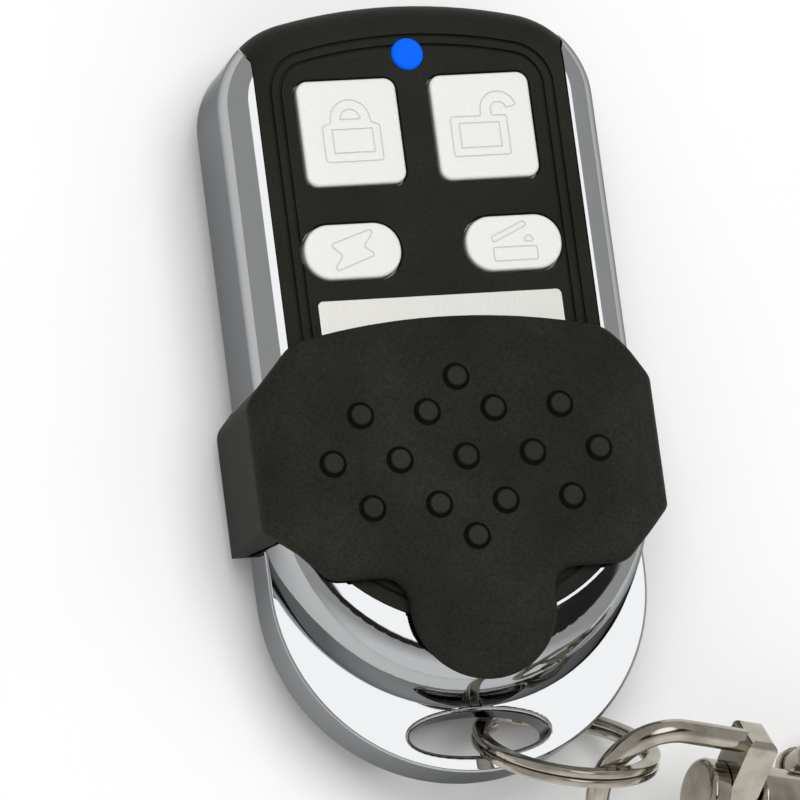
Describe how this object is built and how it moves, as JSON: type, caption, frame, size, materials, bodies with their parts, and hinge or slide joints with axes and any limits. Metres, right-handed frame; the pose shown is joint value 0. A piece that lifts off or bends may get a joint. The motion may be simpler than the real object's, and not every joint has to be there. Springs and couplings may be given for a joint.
{
  "type": "key-fob remote control",
  "caption": "Chrome-framed key-fob remote with press keys, a sliding key cover, indicator lamp, split ring and swivel clasp.",
  "frame": {"origin": "middle of the flat back of the back shell, on the surface that the remote lies on", "axes": "+X to the right of the keys, +Y from the key-ring end to the lamp end, +Z out of the keys, square to the back"},
  "size_m": [0.0709, 0.0866, 0.0167],
  "materials": {
    "chrome": "polished chrome plating on moulded plastic",
    "black_plastic": "fine matte grain",
    "key_white": "satin silver-white",
    "brushed_plate": "brushed lengthwise, bare",
    "blue_lamp": "clear blue lens",
    "green_board": "solder mask",
    "dark_moulding": "moulded",
    "can_steel": "plain tinned steel",
    "trimmer_white": "ceramic",
    "ceramic": "sintered",
    "cell_wrap": "bare metal-coloured sleeve, no print",
    "contact_steel": "nickel-plated spring steel",
    "screw_steel": "zinc plated",
    "nickel": "warm polished nickel"
  },
  "bodies": {
    "case": {"chrome_frame": "chrome", "front_panel": "black_plastic", "back_shell": "black_plastic", "nameplate": "brushed_plate", "indicator_lamp": "blue_lamp", "circuit_board": "green_board", "switch_housings": "dark_moulding", "controller_chip": "dark_moulding", "resonator_can": "can_steel", "tuning_trimmer": "trimmer_white", "small_parts": "ceramic", "battery_cell": "cell_wrap", "battery_spring": "contact_steel", "battery_contact": "contact_steel", "case_screws": "screw_steel", "board_screws": "screw_steel"},
    "lock_key": {"lock_key": "key_white", "lock_key_plunger": "dark_moulding"},
    "unlock_key": {"unlock_key": "key_white", "unlock_key_plunger": "dark_moulding"},
    "power_key": {"power_key": "key_white", "power_key_plunger": "dark_moulding"},
    "boot_key": {"boot_key": "key_white", "boot_key_plunger": "dark_moulding"},
    "cover": {"slide_cover": "black_plastic"},
    "ring": {"split_ring": "nickel"},
    "loop": {"clasp_loop": "nickel"},
    "claw": {"swivel_post": "nickel", "claw_body": "nickel", "gate_pin": "nickel", "gate_spring": "contact_steel"},
    "gate": {"claw_gate": "nickel"}
  },
  "joints": [
    {"name": "lock_key_press", "type": "slide", "parent": "case", "child": "lock_key", "axis": [0, 0, -1], "range_m": [0, 0.00035], "stiffness_N_per_m": 900, "springref_m": -0.0005},
    {"name": "unlock_key_press", "type": "slide", "parent": "case", "child": "unlock_key", "axis": [0, 0, -1], "range_m": [0, 0.00035], "stiffness_N_per_m": 900, "springref_m": -0.0005},
    {"name": "power_key_press", "type": "slide", "parent": "case", "child": "power_key", "axis": [0, 0, -1], "range_m": [0, 0.00035], "stiffness_N_per_m": 900, "springref_m": -0.0005},
    {"name": "boot_key_press", "type": "slide", "parent": "case", "child": "boot_key", "axis": [0, 0, -1], "range_m": [0, 0.00035], "stiffness_N_per_m": 900, "springref_m": -0.0005},
    {"name": "cover_slide", "type": "slide", "parent": "case", "child": "cover", "axis": [0, 1, 0], "range_m": [0, 0.024]},
    {"name": "ring_swing", "type": "hinge", "parent": "case", "child": "ring", "pos_m": [0.00048, -0.03225, 0.00725], "axis": [-0.2331, -0.5101, 0.8279], "range_deg": [-10, 0]},
    {"name": "loop_swing", "type": "hinge", "parent": "ring", "child": "loop", "pos_m": [0.01449, -0.03734, 0.01201], "axis": [0.607, 0.3744, -0.701], "range_deg": [-45, 25]},
    {"name": "claw_swivel", "type": "hinge", "parent": "loop", "child": "claw", "pos_m": [0.02435, -0.04031, 0.00853], "axis": [0.9641, -0.1641, -0.2089], "continuous": true},
    {"name": "gate_open", "type": "hinge", "parent": "claw", "child": "gate", "pos_m": [0.03125, -0.03707, 0.00719], "axis": [-0.206, 0.0351, -0.9779], "range_deg": [0, 20], "stiffness_Nm_per_rad": 0.02, "springref_deg": -11.46}
  ]
}
